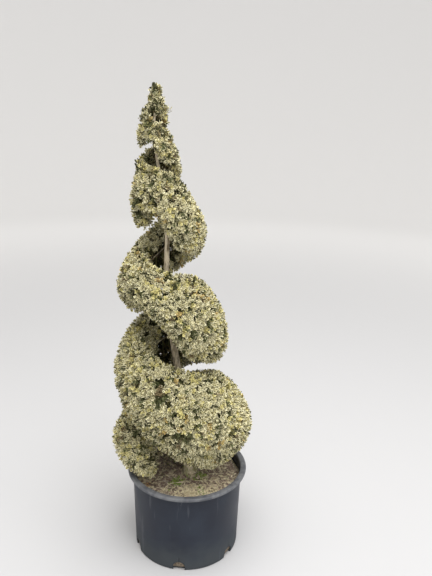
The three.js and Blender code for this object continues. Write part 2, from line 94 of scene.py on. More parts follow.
def soft_lamp(name, place, size, power):
    """A square lamp that points at the middle of the plant."""
    lamp = bpy.data.lights.new(name, "AREA")
    lamp.size = size
    lamp.energy = power
    holder = bpy.data.objects.new(name, lamp)
    aim = LAMP_AIM - Vector(place)
    holder.matrix_world = Matrix.Translation(place) @ aim.to_track_quat("-Z", "Y").to_matrix().to_4x4()
    bpy.context.scene.collection.objects.link(holder)


soft_lamp("sky_light", place=(0.4, -0.9, 5.2), size=4.5, power=362)
soft_lamp("front_light", place=(1.6, -3.2, 2.4), size=1.8, power=28)

world = bpy.data.worlds.new("studio")
world.use_nodes = True
surround = world.node_tree.nodes["Background"]
surround.inputs["Color"].default_value = (1, 0.97, 0.91, 1)
surround.inputs["Strength"].default_value = 0.6
bpy.context.scene.world = world
bpy.context.scene.view_settings.view_transform = "Standard"

# %% [markdown]
# ## A way to write materials
#
# A material is a set of nodes joined by links. Dozens of nodes made one by one are hard to read, so two
# small classes do it. `Value` wraps a node's output and lets Python's own operators add Math nodes, so a mask
# can be written as `1 - mask`. `Finish` is one material, with one method that adds any node. Colours go
# through the Mix node, because a Math node would turn them grey.

# %% Values that vary over a surface
class Value:
    """A number or colour that varies over a surface."""

    def __init__(self, finish, socket):
        self.finish = finish
        self.socket = socket

    def maths(self, operation, first, second):
        return self.finish.add("ShaderNodeMath", {0: first, 1: second}, operation=operation)

    def __add__(self, other):
        return self.maths("ADD", self, other)

    def __mul__(self, other):
        return self.maths("MULTIPLY", self, other)

    def __sub__(self, other):
        return self.maths("SUBTRACT", self, other)

    def __rsub__(self, other):
        return self.maths("SUBTRACT", other, self)

    __radd__ = __add__
    __rmul__ = __mul__


# %% Finishes
class Finish:
    """One material, made of nodes round a Principled shader."""

    def __init__(self, name, **constants):
        self.material = bpy.data.materials.new(name)
        self.material.use_nodes = True
        self.tree = self.material.node_tree
        self.shader = self.tree.nodes["Principled BSDF"]
        for socket, value in constants.items():
            self.shader.inputs[socket.replace("_", " ")].default_value = value
        self.object_place = self.add("ShaderNodeTexCoord", {}, "Object")

    def add(self, kind, sockets, out=0, **settings):
        """Adds a node, with what goes into its sockets and its settings."""
        node = self.tree.nodes.new(kind)
        for key, value in settings.items():
            setattr(node, key, value)
        for key, value in sockets.items():
            self.feed(node.inputs[key], value)
        return Value(self, node.outputs[out])

    def feed(self, socket, value):
        if isinstance(value, Value):
            self.tree.links.new(value.socket, socket)
        elif socket.type == "RGBA" and len(value) == 3:
            socket.default_value = (*value, 1)
        else:
            socket.default_value = value

    def set(self, socket, value):
        """Feeds a socket of the shader."""
        self.feed(self.shader.inputs[socket], value)

    def stretched(self, scale, turn=(0, 0, 0)):
        """Object coordinates, stretched and turned."""
        sockets = {"Vector": self.object_place, "Scale": scale, "Rotation": turn}
        return self.add("ShaderNodeMapping", sockets)

    def grain(self, scale, detail=3, place=None):
        """Noise from 0 to 1, where scale is the number of its lumps in a metre."""
        sockets = {"Vector": place or self.object_place, "Scale": scale, "Detail": detail}
        return self.add("ShaderNodeTexNoise", sockets)

    def mask(self, value, low, high):
        """0 below low, 1 above high, and smooth between them."""
        sockets = {"Value": value, "From Min": low, "From Max": high}
        return self.add("ShaderNodeMapRange", sockets, interpolation_type="SMOOTHSTEP")

    def mix(self, share, first, second):
        """A colour between two colours."""
        return self.add("ShaderNodeMix", {0: share, 6: first, 7: second}, 2, data_type="RGBA")

    def coordinate(self, axis="Z"):
        """One of the object coordinates, by default the height."""
        return self.add("ShaderNodeSeparateXYZ", {"Vector": self.object_place}, axis)

    def relief(self, value, depth, strength=1):
        """Bumps of the given depth in metres."""
        sockets = {"Height": value, "Distance": depth, "Strength": strength}
        self.set("Normal", self.add("ShaderNodeBump", sockets))


print("one method adds any node")

# %% [markdown]
# ## The rule that the plant grows by
#
# A clipped spiral is a ramp of foliage wound round a trunk inside a tall pointed crown. One rule gives its
# shape: the crown's radius and lean at each height, the height and thickness of the ramp at each half turn,
# how far its underside is clipped back in front, and a rounded section. The solids were made by this rule,
# so it is written again here, and NumPy works it out for thousands of places at once.

# %% Sizes of the crown, the trunk and the ramp
CROWN_BASE = 0.280
CROWN_TOP = 1.471
CROWN_RADIUS = [0.230, 0.230, 0.208, 0.188, 0.168, 0.144, 0.118, 0.082, 0.050, 0.008]
CROWN_LEAN = [-0.013, -0.016, -0.024, -0.044, -0.058, -0.069, -0.068, -0.086, -0.103, -0.095]
BAND_HEIGHTS = [0.340, 0.470, 0.622, 0.783, 0.902, 1.098, 1.162, 1.285, 1.348, 1.388, 1.455]
BAND_THICKNESS = [0.265, 0.290, 0.262, 0.282, 0.222, 0.222, 0.218, 0.118, 0.110, 0.084, 0.060]
BAND_SQUARENESS = 1.8

# Places along the ramp are counted in turns from its first pass of the left side
BAND_START = -0.125
BAND_END = 4.95
LOWER_END_ROUND = 0.14
LEAST_ROUND = 0.03
UPPER_END_TAPER = 0.95
UPPER_END_SPARE = 0.2
LEAST_TAPER = 0.1

# The lowest turn hangs deeper where nothing grows below it, but stays clear of the pot's rim
LOW_TURN_DROP = 0.4
LOW_TURN_SLOPE = 0.26
LOW_TURN_SPAN = (0.1, 0.4, 0.72, 0.98)
RIM_CLEARANCE = 0.005
FLOOR_SOFTNESS = 0.010

# From the second turn on, the underside is cut back where the ramp climbs from the front to the left
FRONT_CUT = 0.8
FRONT_CUT_SPAN = (0.66, 0.84, 0.89, 1.04)
FRONT_CUT_BEGINS = (1.2, 1.5)

# Between the ramp and the trunk
TRUNK_CLEARANCE = 0.004
TRUNK_CLEARANCE_SHARE = 0.12
LEAST_DEPTH = 0.006

POT_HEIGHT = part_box("pot")[1].z
RIM_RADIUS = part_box("pot")[1].x
SOIL_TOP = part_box("soil")[1].z
TRUNK_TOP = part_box("trunk")[1].z
CROWN_FLOOR = POT_HEIGHT + RIM_CLEARANCE

FLARE_RADIUS = 0.025
FLARE_HEIGHT = 0.060
FLARE_CURVE = 3
TRUNK_RADIUS = 0.016
TRUNK_TIP_RADIUS = 0.003
TRUNK_CURVE = 0.9
FOOT_OFFSET = 0.008
FOOT_FADE = 0.160

# Start and end of each mass: the foot, nine half turns from back_1 to back_5, and the tip
MASSES = {"foot": (BAND_START, 0)}
for half in range(9):
    MASSES[("back_", "front_")[half % 2] + str(half // 2 + 1)] = (half / 2, half / 2 + 0.5)
MASSES["tip"] = (4.5, BAND_END)
print("pot", round(POT_HEIGHT, 3), "soil", round(SOIL_TOP, 3), "trunk", round(TRUNK_TOP, 3))

# %% Crown and trunk at a height
def along_row(row, place):
    """A smooth value at a place along a row."""
    row = np.asarray(row, float)
    last = len(row) - 1
    step = np.floor(place).astype(int)
    share = place - step

    def at(k):
        below = row[0] + k * (row[1] - row[0])
        above = row[last] + (k - last) * (row[last] - row[last - 1])
        return np.where(k < 0, below, np.where(k > last, above, row[np.clip(k, 0, last)]))

    a, b, c, d = at(step - 1), at(step), at(step + 1), at(step + 2)
    curve = (2 * a - 5 * b + 4 * c - d) * share**2 + (3 * b - a - 3 * c + d) * share**3
    return 0.5 * (2 * b + (c - a) * share + curve)


def crown_row(row, z):
    return along_row(row, (np.asarray(z, float) - CROWN_BASE) / (CROWN_TOP - CROWN_BASE) * (len(row) - 1))


def crown_radius(z):
    return np.maximum(0, crown_row(CROWN_RADIUS, np.minimum(z, CROWN_TOP)))


def lean_at(z):
    return crown_row(CROWN_LEAN, z)


def height_share(z):
    return np.clip((np.asarray(z, float) - CROWN_BASE) / (CROWN_TOP - CROWN_BASE), 0, 1)


def by_height(pair, z):
    """A size between its value at the foot of the crown and its value at the top."""
    return pair[0] + (pair[1] - pair[0]) * height_share(z)


def trunk_line(z):
    fade = np.exp(-(np.asarray(z, float) - SOIL_TOP) / FOOT_FADE)
    return lean_at(z) + (FOOT_OFFSET - lean_at(SOIL_TOP)) * fade


def trunk_radius(z):
    rise = np.asarray(z, float) - SOIL_TOP
    share = np.clip(rise / (TRUNK_TOP - SOIL_TOP), 0, 1)
    flare = (FLARE_RADIUS - TRUNK_RADIUS) * np.exp(-FLARE_CURVE * rise / FLARE_HEIGHT)
    return TRUNK_RADIUS + (TRUNK_TIP_RADIUS - TRUNK_RADIUS) * share**TRUNK_CURVE + flare


print("crown radius at foot and top:", crown_radius(CROWN_BASE), crown_radius(CROWN_TOP).round(3))

# %% The ramp at a place along it
def smoothstep(x, low, high):
    """0 below low, 1 above high, and smooth between them."""
    share = np.clip((x - low) / (high - low), 0, 1)
    return share * share * (3 - 2 * share)


def rise_and_fall(x, start, full, ease, end):
    """0 up to start, 1 from full to ease, and 0 again from end on."""
    return smoothstep(x, start, full) - smoothstep(x, ease, end)


def front_cut(s):
    """How far the underside is cut back in front."""
    start = FRONT_CUT_SPAN[0]
    amount = rise_and_fall(start + np.mod(s - start, 1), *FRONT_CUT_SPAN)
    return FRONT_CUT * amount * smoothstep(s, *FRONT_CUT_BEGINS)


def band_at(s):
    """The ramp at s: angle, middle height, half thickness, inner radius, fullness and slope below."""
    s = np.asarray(s, float)
    angle = -math.pi / 2 - 2 * math.pi * s
    centre = along_row(BAND_HEIGHTS, 2 * s)
    from_end = np.clip((s - BAND_START) / LOWER_END_ROUND, 0, 1)
    fullness = np.sqrt(np.maximum(1 - (1 - from_end) ** 2, LEAST_ROUND))
    taper = np.clip((BAND_END + UPPER_END_SPARE - s) / UPPER_END_TAPER, LEAST_TAPER, 1)
    half = 0.5 * along_row(BAND_THICKNESS, 2 * s) * fullness * taper
    open_below = rise_and_fall(s, *LOW_TURN_SPAN)
    lowest = centre - half * (1 + LOW_TURN_DROP * open_below) * (1 - front_cut(s))
    lift = np.log1p(np.exp((lowest - CROWN_FLOOR) / FLOOR_SOFTNESS))
    bottom = np.where(s < 1, CROWN_FLOOR + FLOOR_SOFTNESS * lift, lowest)
    middle = (centre + half + bottom) / 2
    inner = trunk_radius(middle) + TRUNK_CLEARANCE + TRUNK_CLEARANCE_SHARE * crown_radius(middle)
    return angle, middle, (centre + half - bottom) / 2, inner, fullness, LOW_TURN_SLOPE * open_below


def band_point(s, u, v):
    """A point of the ramp: u from -1 at the trunk to 1 outside, v from -1 below to 1 above."""
    angle, middle, half, inner, fullness, slope = band_at(s)
    z = middle + half * v
    clipped = crown_radius(z) * (1 - slope * np.maximum(-np.asarray(v, float), 0) ** 1.5)
    outer = np.maximum(clipped, inner + LEAST_DEPTH)
    radius = (inner + outer) / 2 + (outer - inner) / 2 * fullness * u
    return np.stack([lean_at(z) + radius * np.sin(angle), -radius * np.cos(angle), z], -1)


def section_outline(turn):
    """The rounded section's edge in a direction, as u and v."""
    across, up = np.cos(turn), np.sin(turn)
    size = (np.abs(across) ** BAND_SQUARENESS + np.abs(up) ** BAND_SQUARENESS) ** (1 / BAND_SQUARENESS)
    return across / size, up / size


print("front of the lowest full turn:", band_point(0.75, 1, 0).round(3))

# %% [markdown]
# ## Joining many small copies
#
# A hundred thousand leaves can't be separate objects. Geometry Nodes could instance and realize them. Here
# arrays do the same: one small shape is turned into numbers and copied with a matrix for each copy, and all
# the copies become one ordinary mesh.

# %% Copies joined into one mesh
def shape_of(bm):
    """The points, triangles and material slots of a bmesh, which is then freed."""
    bmesh.ops.triangulate(bm, faces=bm.faces[:])
    bm.verts.ensure_lookup_table()
    points = np.array([v.co for v in bm.verts])
    triangles = np.array([[v.index for v in face.verts] for face in bm.faces])
    slots = np.array([face.material_index for face in bm.faces])
    bm.free()
    return points, triangles, slots


def copies(shapes, which, turns, places, kinds=None, slot_table=None):
    """Copy k is shape which[k], turned by turns[k], moved to places[k], with row kinds[k] of slot_table."""
    parts = []
    start = 0
    for number, (points, triangles, slots) in enumerate(shapes):
        rows = np.flatnonzero(which == number)
        placed = np.einsum("nij,vj->nvi", turns[rows], points) + places[rows, None, :]
        offsets = start + np.arange(len(rows))[:, None, None] * len(points)
        start += len(rows) * len(points)
        if kinds is None:
            all_slots = np.tile(slots, len(rows))
        else:
            all_slots = slot_table[kinds[rows][:, None], slots[None, :]].ravel()
        parts.append((placed.reshape(-1, 3), (triangles[None] + offsets).reshape(-1, 3), all_slots))
    return [np.concatenate(part) for part in zip(*parts)]


def object_of(name, mesh, finishes):
    """An object at the origin that shows a mesh in its finishes."""
    for finish in finishes:
        mesh.materials.append(finish.material)
    piece = bpy.data.objects.new(name, mesh)
    bpy.context.scene.collection.objects.link(piece)
    return piece


def piece_from(name, shape, finishes):
    """An object with flat faces, from a joined shape."""
    points, triangles, slots = shape
    mesh = bpy.data.meshes.new(name)
    mesh.vertices.add(len(points))
    mesh.vertices.foreach_set("co", points.astype(np.float32).ravel())
    mesh.loops.add(triangles.size)
    mesh.loops.foreach_set("vertex_index", triangles.astype(np.int32).ravel())
    mesh.polygons.add(len(triangles))
    mesh.polygons.foreach_set("loop_start", np.arange(0, triangles.size, 3, dtype=np.int32))
    mesh.polygons.foreach_set("material_index", slots.astype(np.int32))
    mesh.polygons.foreach_set("use_smooth", np.full(len(triangles), False))
    mesh.update(calc_edges=True)
    return object_of(name, mesh, finishes)


def piece_of(name, bm, finishes):
    """An object with smooth faces, from a bmesh."""
    mesh = bpy.data.meshes.new(name)
    bm.to_mesh(mesh)
    bm.free()
    mesh.polygons.foreach_set("use_smooth", np.full(len(mesh.polygons), True))
    return object_of(name, mesh, finishes)


def unit(vectors):
    return vectors / np.maximum(np.linalg.norm(vectors, axis=-1, keepdims=True), 1e-9)


def turns_to(directions, spins):
    """Matrices that turn +Z to each direction, after a spin round it."""
    helper = np.where(np.abs(directions[:, 2:3]) > 0.9, [[1.0, 0, 0]], [[0, 0, 1.0]])
    side = unit(np.cross(directions, helper))
    other = np.cross(directions, side)
    cos, sin = np.cos(spins)[:, None], np.sin(spins)[:, None]
    return np.stack([side * cos + other * sin, other * cos - side * sin, directions], -1)


print("copies are joined with arrays")

# %% [markdown]
# ## Bark
#
# The stem's bark is pale tan, with fine long ridges and dark cracks between them, and mossy near the soil.
# The largest ridges are in the mesh. The finish adds the small cracks, made of noise that is stretched along
# the trunk, and the green of the moss by height.

# %% Bark and twig finishes
def two_tones(name, light, dark, grain, edges, **constants):
    """A finish that wanders in soft blotches between two near tones."""
    finish = Finish(name, **constants)
    blotch = finish.mask(finish.grain(*grain), *edges)
    finish.set("Base Color", finish.mix(blotch, light, dark))
    return finish


def bark_finish():
    finish = Finish("bark", Roughness=0.85)
    ridges = finish.grain(150, 6, finish.stretched((1, 1, 0.16)))
    flakes = finish.grain(420, 4, finish.stretched((1, 1, 0.35)))
    crack = 1 - finish.mask(ridges, 0.36, 0.52)
    tan = finish.mix(finish.mask(flakes, 0.35, 0.65), (0.66, 0.55, 0.38), (0.88, 0.78, 0.60))
    worn = finish.mix(crack, tan, (0.20, 0.15, 0.09))
    low = 1 - finish.mask(finish.coordinate(), SOIL_TOP + 0.01, SOIL_TOP + 0.12)
    moss = low * finish.mask(finish.grain(70, 3), 0.42, 0.62)
    finish.set("Base Color", finish.mix(moss * 0.65, worn, (0.27, 0.27, 0.10)))
    finish.relief(ridges + flakes * 0.4, 0.0012, 0.8)
    return finish


BARK = bark_finish()
TWIG = two_tones("twig", (0.33, 0.26, 0.13), (0.24, 0.25, 0.10), (60, 2), (0.4, 0.6), Roughness=0.7)
print("bark nodes:", len(BARK.tree.nodes))

# %% [markdown]
# ## Wood
#
# Trunk and boughs are tubes that taper and bend. A curve with a bevel could make them, but its relief would
# have to come later. Here a cylinder is cut into many rings, and each point is moved to its place on the
# limb: its height says how far along, its direction which side. The same loop adds the ridges.

# %% A limb from a cut cylinder
HEADING_STEP = 0.02
RIDGES_ROUND = 3
RIDGES_ACROSS = 40
RIDGES_ALONG = 45


def limb_mesh(line, radius, sides, rings, relief):
    """A capped tube: line(t) and radius(t, turn) give its middle and radius from t = 0 to 1."""
    bm = bmesh.new()
    bmesh.ops.create_cone(bm, cap_ends=True, segments=sides, radius1=1, radius2=1, depth=1)
    upright = [e for e in bm.edges if abs(e.verts[0].co.z - e.verts[1].co.z) > 0.5]
    bmesh.ops.subdivide_edges(bm, edges=upright, cuts=rings - 1)
    for vert in bm.verts:
        t = vert.co.z + 0.5
        turn = math.atan2(vert.co.y, vert.co.x)
        here = Vector(line(t))
        ahead, behind = min(t + HEADING_STEP, 1), max(t - HEADING_STEP, 0)
        heading = (Vector(line(ahead)) - Vector(line(behind))).normalized()
        side = Vector((1, 0, 0)) - heading * heading.x
        side.normalize()
        out = math.cos(turn) * side + math.sin(turn) * heading.cross(side)
        size = radius(t, turn)
        surface = here + out * size
        ridge_x = out.x * RIDGES_ROUND + surface.x * RIDGES_ACROSS
        ridge_y = out.y * RIDGES_ROUND + surface.y * RIDGES_ACROSS
        ridge = noise.noise(Vector((ridge_x, ridge_y, surface.z * RIDGES_ALONG)))
        vert.co = surface + out * ridge * relief * size
    return bm


print("limbs are bent from cylinders")

# %% Trunk
FLUTES = 3
FLUTE_DEPTH = 0.16
FLUTE_FADE = 0.045
BARK_INSET = 0.99


def trunk_bark():
    """The whole stem, with flutes that fade up the root flare."""
    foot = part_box("trunk")[0].z

    def line(t):
        z = foot + (TRUNK_TOP - foot) * t
        return (float(trunk_line(z)), 0, z)

    def radius(t, turn):
        z = foot + (TRUNK_TOP - foot) * t
        flute = 1 + FLUTE_DEPTH * math.exp(-(z - SOIL_TOP) / FLUTE_FADE) * math.cos(FLUTES * turn)
        return float(trunk_radius(z)) * flute * BARK_INSET

    return piece_of("trunk_bark", limb_mesh(line, radius, sides=32, rings=260, relief=0.10), [BARK])


trunk = trunk_bark()
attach(trunk, "root")
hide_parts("trunk")
print("trunk faces:", len(trunk.data.polygons))

# %% Boughs and the arms that follow the ramp
BOUGH_SHARE = 0.3
LEAST_BOUGH = 0.0012
BOUGH_RISE = 0.7
LEAST_RISE = 0.003
BOUGH_ELBOW = 0.6
BOUGH_SAG = 0.1
BOUGH_TIP = -0.98
FORK_PLACE = -0.1
ARM_REACH = 0.9


def bough(name, start, end):
    """One limb from the trunk to a fork inside its mass, and two arms along the ramp."""
    middle = (start + end) / 2
    _, height, _, inner, _, _ = band_at(middle)
    tip = band_point(middle, BOUGH_TIP, 0)
    rise = BOUGH_RISE * (inner - trunk_radius(height)) + LEAST_RISE
    foot = np.array([float(trunk_line(tip[2] - rise)), 0, tip[2] - rise])
    elbow = foot + BOUGH_ELBOW * (tip - foot)
    elbow[2] -= BOUGH_SAG * np.linalg.norm(tip - foot)
    points = np.array([foot, elbow, tip, band_point(middle, FORK_PLACE, 0)])
    thick = BOUGH_SHARE * float(trunk_radius(foot[2])) + LEAST_BOUGH

    def tube(line, at_foot, loss, sides):
        return limb_mesh(line, lambda t, turn: thick * (at_foot - loss * t), sides, rings=24, relief=0.12)

    whole = tube(lambda t: [along_row(row, 3 * t) for row in points.T], at_foot=1.25, loss=0.6, sides=12)
    for far in (start, end):
        reach = (far - middle) * ARM_REACH
        arm = tube(lambda t: band_point(middle + reach * t, FORK_PLACE, 0), at_foot=0.6, loss=0.36, sides=8)
        scrap = bpy.data.meshes.new("arm")
        arm.to_mesh(scrap)
        arm.free()
        whole.from_mesh(scrap)
        bpy.data.meshes.remove(scrap)
    return piece_of(name, whole, [BARK])


for mass, (start, end) in MASSES.items():
    limb = bough("bough_bark_" + mass, start, end)
    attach(limb, "root")
    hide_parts("bough_" + mass)
print("boughs:", len(MASSES))

# %% [markdown]
# ## Leaf colours
#
# This boxwood is variegated: each leaf has a green middle and a cream margin. Tips in the light are butter
# yellow, a few are tinged with amber, and leaves deep inside are dark: partly their own plain dark green,
# partly painted shade that darkens the gaps between sprays. A pattern painted over the plant couldn't follow
# single leaves. So each leaf's middle and margin are separate faces with plain colours, and each spray is
# given one of a few kinds of leaf.

# %% Leaf finishes
def leaf_finish(name, light, dark, roughness):
    """One face of a dull waxy leaf."""
    shine = {"Roughness": roughness, "Specular_IOR_Level": 0.25}
    return two_tones(name, light, dark, (90, 2), (0.38, 0.62), **shine)


LEAF_FINISHES = [
    leaf_finish("leaf_cream", (0.91, 0.85, 0.58), (0.80, 0.73, 0.45), 0.42),
    leaf_finish("leaf_butter", (0.88, 0.79, 0.38), (0.76, 0.68, 0.28), 0.42),
    leaf_finish("leaf_sage", (0.150, 0.158, 0.068), (0.095, 0.102, 0.042), 0.48),
    leaf_finish("leaf_green", (0.068, 0.078, 0.026), (0.040, 0.048, 0.015), 0.5),
    leaf_finish("leaf_olive", (0.30, 0.278, 0.10), (0.20, 0.187, 0.065), 0.48),
    # Dark inner leaves: partly their own dark green, partly painted shade that darkens the gaps between
    # sprays.
    leaf_finish("leaf_dark_and_painted_shade", (0.085, 0.074, 0.034), (0.045, 0.040, 0.018), 0.6),
    leaf_finish("leaf_amber", (0.70, 0.50, 0.21), (0.55, 0.37, 0.14), 0.45),
    leaf_finish("leaf_tan", (0.38, 0.29, 0.16), (0.22, 0.165, 0.09), 0.7),
]
CREAM, BUTTER, SAGE, GREEN, OLIVE, DARK_AND_PAINTED_SHADE, AMBER, TAN = range(8)

# Each kind of leaf: the finish of its middle, then of its margin
LEAF_KINDS = np.array([
    [SAGE, CREAM],
    [GREEN, CREAM],
    [OLIVE, BUTTER],
    [OLIVE, CREAM],
    [GREEN, SAGE],
    [DARK_AND_PAINTED_SHADE, GREEN],
    [OLIVE, AMBER],
    [DARK_AND_PAINTED_SHADE, TAN],
])
print("kinds of leaf:", len(LEAF_KINDS))

# %% [markdown]
# ## A leaf and a spray
#
# A box leaf is an oval about 13 mm long, folded along its midrib and a little hooked at the tip. A hexagon
# split from root to tip is enough of an outline. Poking each half puts a point inside it, which divides it
# into a middle triangle and three margin triangles: eight triangles for a leaf in two colours.
#
# Leaves grow in pairs, each pair a quarter turn from the last, on a short straight twig. Twelve different
# sprays are enough, because each copy is also turned and scaled.

# %% One leaf
LEAF_LENGTH = 0.0128
LEAF_WIDTH = 0.56
LEAF_FOLD = 0.30
LEAF_HOOK = 0.16
HEXAGON_HALF_WIDTH = 0.433
ON_MIDRIB = 0.01


def leaf_shape(breadth):
    """A leaf of unit length from the origin along +Y, upper face to +Z. Breadth widens its middle part."""
    bm = bmesh.new()
    bmesh.ops.create_circle(bm, cap_ends=True, segments=6, radius=0.5)
    ends = [v for v in bm.verts if abs(v.co.x) < ON_MIDRIB]
    bmesh.ops.connect_verts(bm, verts=ends)
    bmesh.ops.poke(bm, faces=bm.faces[:])
    inner = [v for v in bm.verts if len(v.link_edges) == 4 and abs(v.co.y) < ON_MIDRIB]
    for face in bm.faces:
        touches_ends = sum(v in ends for v in face.verts)
        face.material_index = 0 if touches_ends == 2 else 1
    for vert in inner:
        vert.co.x *= breadth
    for vert in bm.verts:
        along = vert.co.y + 0.5
        across = vert.co.x / HEXAGON_HALF_WIDTH * LEAF_WIDTH / 2
        drop = LEAF_FOLD * abs(across) + LEAF_HOOK * along**2
        vert.co = Vector((across, along, -drop))
    return shape_of(bm)


LEAVES = [leaf_shape(1.3), leaf_shape(1.65)]
print("triangles in a leaf:", len(LEAVES[0][1]))

# %% Twelve sprays
SPRAY_KINDS = 12
PAIRS = 4
SPRAY_LENGTH = 0.026
SPRAY_BARE = 0.3
SPRAY_LEAFY = 0.55
SIZE_SPREAD = (0.85, 1.12)
TWIG_RADIUS = 0.0007
TWIG_TAPER = 0.55

# Lift, in degrees, and size of a leaf at the twig's foot, and what each loses to its tip
FOOT_LIFT = 72
LIFT_LOSS = 40
FOOT_SIZE = 1.05
SIZE_LOSS = 0.22
LIFT_SPREAD = 0.18
TURN_SPREAD = 0.22
ROLL_SPREAD = 0.35
dice = np.random.default_rng(24)


def spray_shape():
    """Pairs of leaves along a twig, wider at its foot and closer at its tip."""
    turns, places, kinds = [], [], []
    for pair in range(PAIRS):
        share = pair / (PAIRS - 1)
        for side in (0, math.pi):
            lift = math.radians(FOOT_LIFT - LIFT_LOSS * share) + dice.normal(0, LIFT_SPREAD)
            turn = side + pair * math.pi / 2 + dice.normal(0, TURN_SPREAD)
            size = LEAF_LENGTH * (FOOT_SIZE - SIZE_LOSS * share) * dice.uniform(*SIZE_SPREAD)
            tilt = Matrix.Rotation(math.pi / 2 - lift, 3, "X")
            roll = Matrix.Rotation(dice.normal(0, ROLL_SPREAD), 3, "Y")
            turns.append(size * np.array(Matrix.Rotation(turn, 3, "Z") @ tilt @ roll))
            places.append((0, 0, SPRAY_LENGTH * (SPRAY_BARE + SPRAY_LEAFY * share)))
            kinds.append(int(dice.integers(len(LEAVES))))
    return copies(LEAVES, np.array(kinds), np.array(turns), np.array(places))


def twig_shape():
    """A three-sided twig of unit length and foot radius along +Z, open at both ends."""
    bm = bmesh.new()
    bmesh.ops.create_cone(bm, segments=3, radius1=1, radius2=TWIG_TAPER, depth=1)
    bmesh.ops.translate(bm, verts=bm.verts[:], vec=(0, 0, 0.5))
    return shape_of(bm)


SPRAYS = [spray_shape() for _ in range(SPRAY_KINDS)]
TWIG_SHAPE = twig_shape()
print("triangles in a spray:", len(SPRAYS[0][1]))

# %% [markdown]
# ## Sprays over the clipped surface
#
# Shears leave an even skin of twig ends. Places on it are dealt out evenly along the ramp, and round its
# section by the golden angle, which never lines up. Where the surface is narrow, a share of them is dropped
# to keep the skin equally dense. A second layer deeper in, of dark leaves that are partly painted shade,
# closes the view between them.

# %% Places on the skin
GOLDEN_TURN = (3 - math.sqrt(5)) / 2
LEAFY_ARC = 1.7 * math.pi
SKIN_AREA_PER_SPRAY = (0.000178, 0.0001)
INNER_SIDE = (0.55 * math.pi, 0.80 * math.pi)
INNER_THINNING = 0.70
SMALL_STEP = 1e-3
GRID = (40, 80)


def skin_frame(s, turn):
    """A point of the skin, the outward direction, and how much skin a step of both covers."""
    u, v = section_outline(turn)
    point = band_point(s, u, v)
    along = (band_point(s + SMALL_STEP, u, v) - band_point(s - SMALL_STEP, u, v)) / (2 * SMALL_STEP)
    after, before = (band_point(s, *section_outline(turn + k * SMALL_STEP)) for k in (1, -1))
    normal = np.cross(along, (after - before) / (2 * SMALL_STEP))
    area = np.linalg.norm(normal, axis=-1)
    outward = point - band_point(s, 0 * u, 0 * v)
    normal = unit(normal) * np.sign(np.sum(normal * outward, -1))[:, None]
    return point, normal, area


def skin_weight(turn, point, area, density):
    """How many sprays a unit step of both holds: fewer low on the side that faces the trunk."""
    inner_side = smoothstep(-turn, *INNER_SIDE)
    return area / by_height(SKIN_AREA_PER_SPRAY, point[:, 2]) * density * (1 - INNER_THINNING * inner_side)


def deal_places(start, end, density, random):
    """Places over the skin of a mass, even by area."""
    grid = np.meshgrid(np.linspace(start, end, GRID[0]), np.linspace(-1, 1, GRID[1]))
    s, turn = (x.ravel() for x in grid)
    turn = turn * LEAFY_ARC / 2
    point, _, area = skin_frame(s, turn)
    peak = skin_weight(turn, point, area, density).max()
    tries = int(peak * (end - start) * LEAFY_ARC)
    s = start + (end - start) * (np.arange(tries) + random.random(tries)) / tries
    turn = ((np.arange(tries) * GOLDEN_TURN) % 1 - 0.5) * LEAFY_ARC
    point, normal, area = skin_frame(s, turn)
    keep = random.random(tries) * peak < skin_weight(turn, point, area, density)
    return s[keep], point[keep], normal[keep]


dice = np.random.default_rng(1)
print("sprays on the lowest front mass:", len(deal_places(0.5, 1, 1, dice)[0]))

# %% Places on the lower end and on the leader's tuft
END_SPRAYS = 160
TUFT_SPRAYS = 110
END_STEP = 0.02
END_SPLAY = 0.8
END_SPLAY_DEPTH = 0.03
TUFT_ROUND = 0.014
TUFT_GAP = 0.001
TUFT_LIFT = 0.3
TUFT_TOP_LIFT = 2


def end_places(count, random):
    """Places over the blunt lower end of the ramp, splayed towards its edge."""
    turn = random.random(count) * 2 * math.pi
    u, v = section_outline(turn)
    share = np.sqrt(random.random(count))
    places = np.full(count, BAND_START)
    middle = band_point(places, 0 * u, 0 * v)
    point = band_point(places, u * share, v * share)
    normal = unit(middle - band_point(places + END_STEP, 0 * u, 0 * v))
    splay = END_SPLAY * share[:, None] * (point - middle) / END_SPLAY_DEPTH
    return point, unit(normal + splay)


def tuft_places(count, random):
    """Places over the leader's tuft, above the trunk."""
    z = TRUNK_TOP + (CROWN_TOP - TRUNK_TOP) * random.random(count)
    turn = np.arange(count) * GOLDEN_TURN * 2 * math.pi
    radius = crown_radius(z) * np.minimum(1, np.sqrt((z - TRUNK_TOP + TUFT_GAP) / TUFT_ROUND))
    out = np.stack([np.cos(turn), np.sin(turn), TUFT_LIFT + TUFT_TOP_LIFT * height_share(z) ** 8], -1)
    middle = np.stack([lean_at(z), 0 * z, z], -1)
    return middle + radius[:, None] * out * [1, 1, 0], unit(out)


print("sprays on the lower end and the tuft:", END_SPRAYS, TUFT_SPRAYS)

# %% [markdown]
# ## Which spray gets which kind of leaf
#
# Neighbouring sprays look alike, so a soft noise over the plant groups them. Sprays that face the sky have
# more butter-yellow margins, a few groups are tinged with amber, and the layer deeper in is mostly dark
# leaves, partly their own dark green and partly painted shade. Kinds are drawn by these odds, so the same
# seed gives the same plant every time.

# %% Odds of each kind
GROUP_SIZE = 0.05
GROUP_CONTRAST = 0.9
AMBER_CONTRAST = 4
AMBER_RARITY = 1.6
SHADY_YELLOW = 0.4

# The odds of each kind of leaf: everywhere, then what green, yellow and amber groups add
KIND_ODDS = np.array([
    [0.34, 0, 0, 0],
    [0.19, 0.25, 0, 0],
    [0.06, 0, 0.26, 0],
    [0.20, 0, 0, 0],
    [0.05, 0.10, 0, 0],
    [0.05, 0, 0, 0],
    [0.01, 0, 0, 0.18],
    [0.02, 0, 0, 0.10],
])
